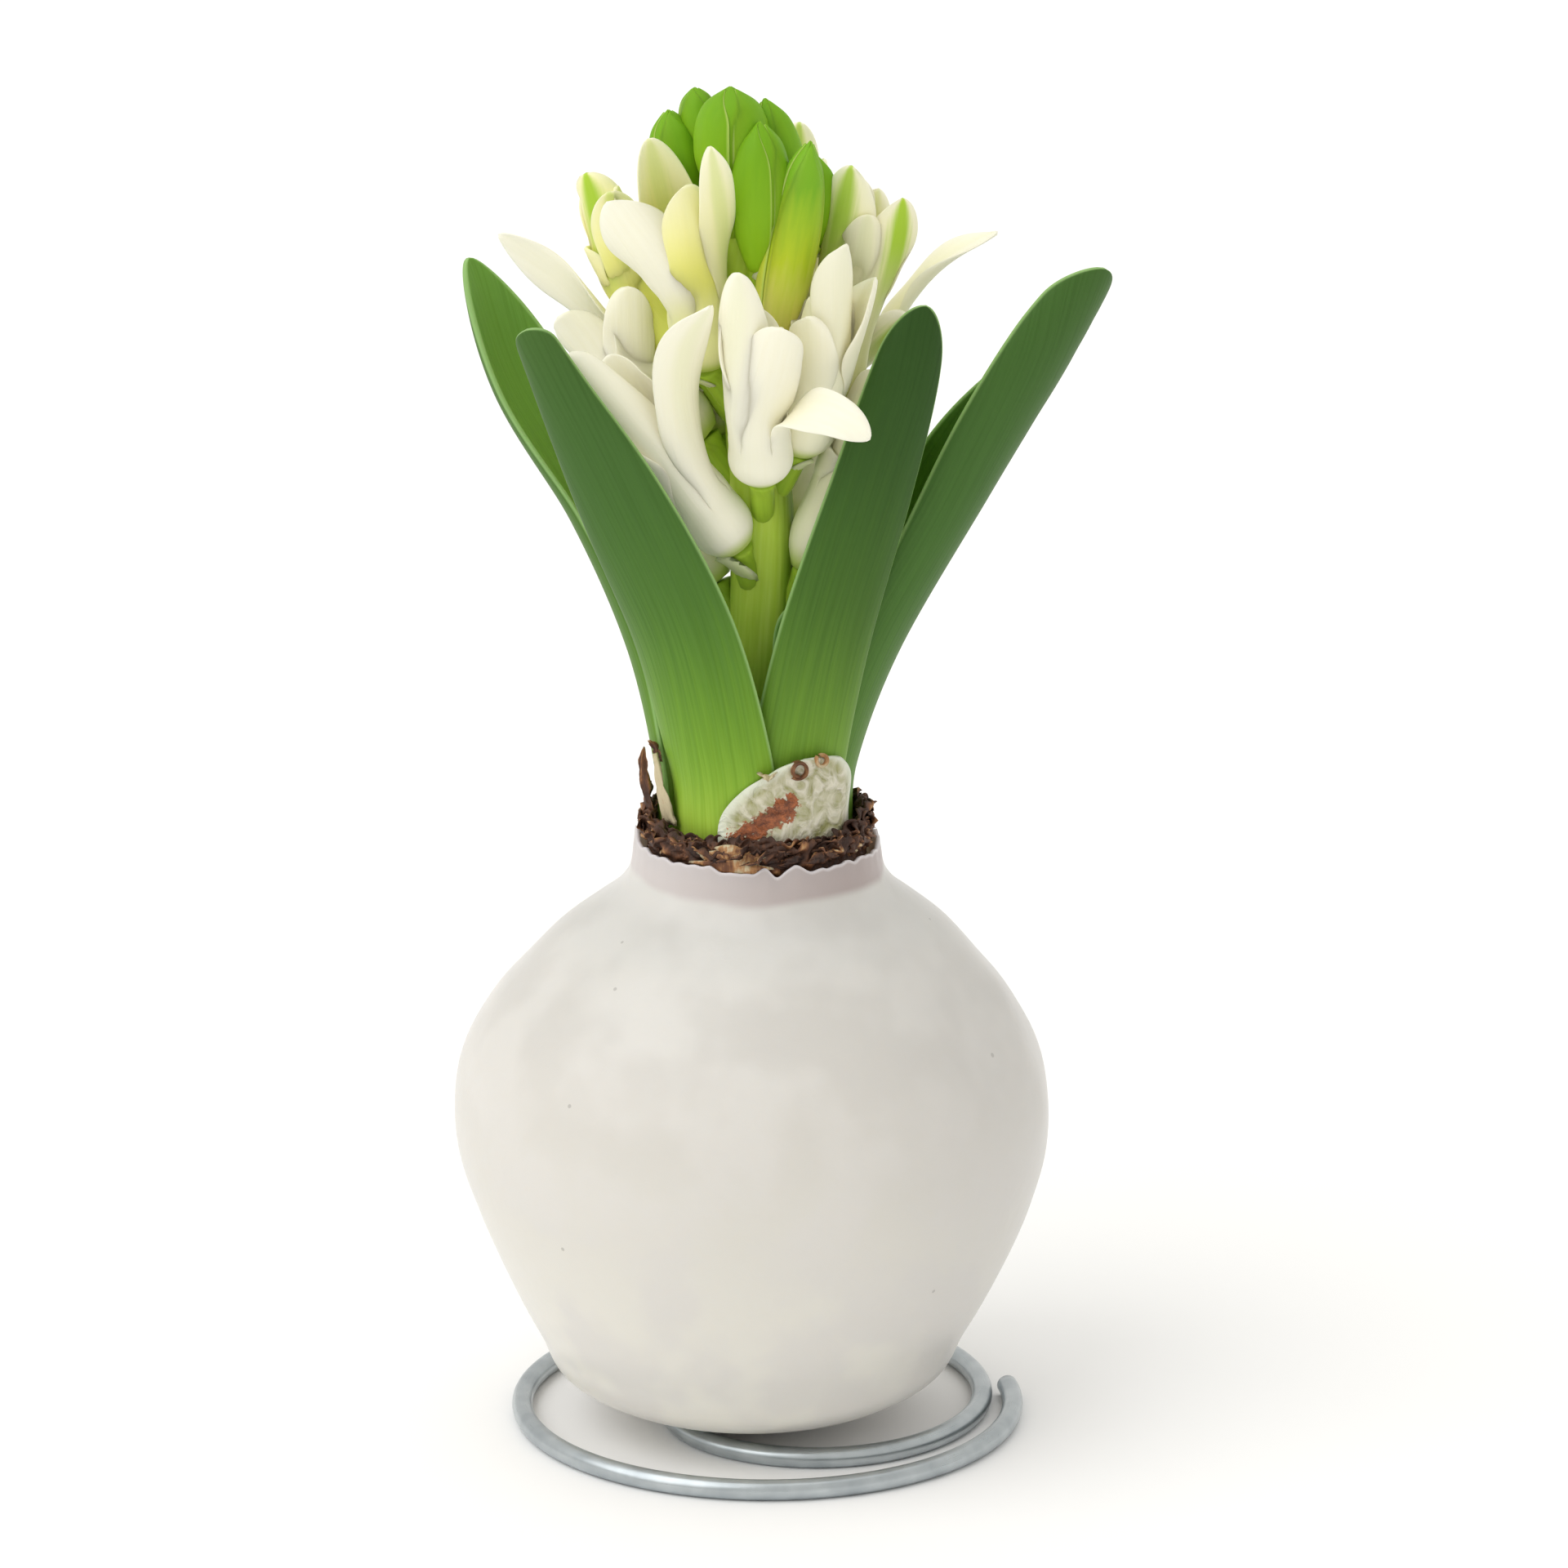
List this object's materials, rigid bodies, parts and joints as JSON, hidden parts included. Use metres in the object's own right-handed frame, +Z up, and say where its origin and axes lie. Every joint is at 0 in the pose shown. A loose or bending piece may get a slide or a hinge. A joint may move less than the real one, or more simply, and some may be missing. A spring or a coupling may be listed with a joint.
{
  "type": "hyacinth flower",
  "caption": "Hyacinth in bloom: a wax-coated bulb standing on a flat wire spiral, with strap leaves and a scape of open florets and green buds.",
  "frame": {"origin": "centre of the footprint, on the surface that the wire spiral stands on", "axes": "+Z up along the plant, -Y towards the picture's camera, +X to its right"},
  "size_m": [0.0776, 0.0688, 0.1639],
  "materials": {
    "zinc_wire": "bright zinc-coated steel wire",
    "wax": "smooth glossy off-white dipped wax",
    "bulb_flesh": "moist bulb flesh, inside the wax",
    "dry_tunic": "dry papery brown bulb skin",
    "pale_scale": "pale fleshy scale with dry brown edges",
    "leaf": "smooth waxy green leaf, paler at the base",
    "petal": "soft cream-white petal with a green midrib at places",
    "green_stem": "smooth fresh green stem and buds"
  },
  "bodies": {
    "root": {"wire_stand": "zinc_wire", "wax_coat": "wax", "bulb": "bulb_flesh", "tunic": "dry_tunic", "neck_scale": "pale_scale", "leaf_front_left": "leaf", "leaf_front_right": "leaf", "leaf_back_left": "leaf", "leaf_back_right": "leaf", "leaf_inner": "leaf", "floret_01": "petal", "floret_02": "petal", "floret_03": "petal", "floret_04": "petal", "floret_05": "petal", "floret_06": "petal", "floret_07": "petal", "floret_08": "petal", "floret_09": "petal", "floret_10": "petal", "floret_11": "petal", "floret_12": "petal", "floret_13": "petal", "floret_14": "petal", "scape": "green_stem"}
  },
  "joints": []
}
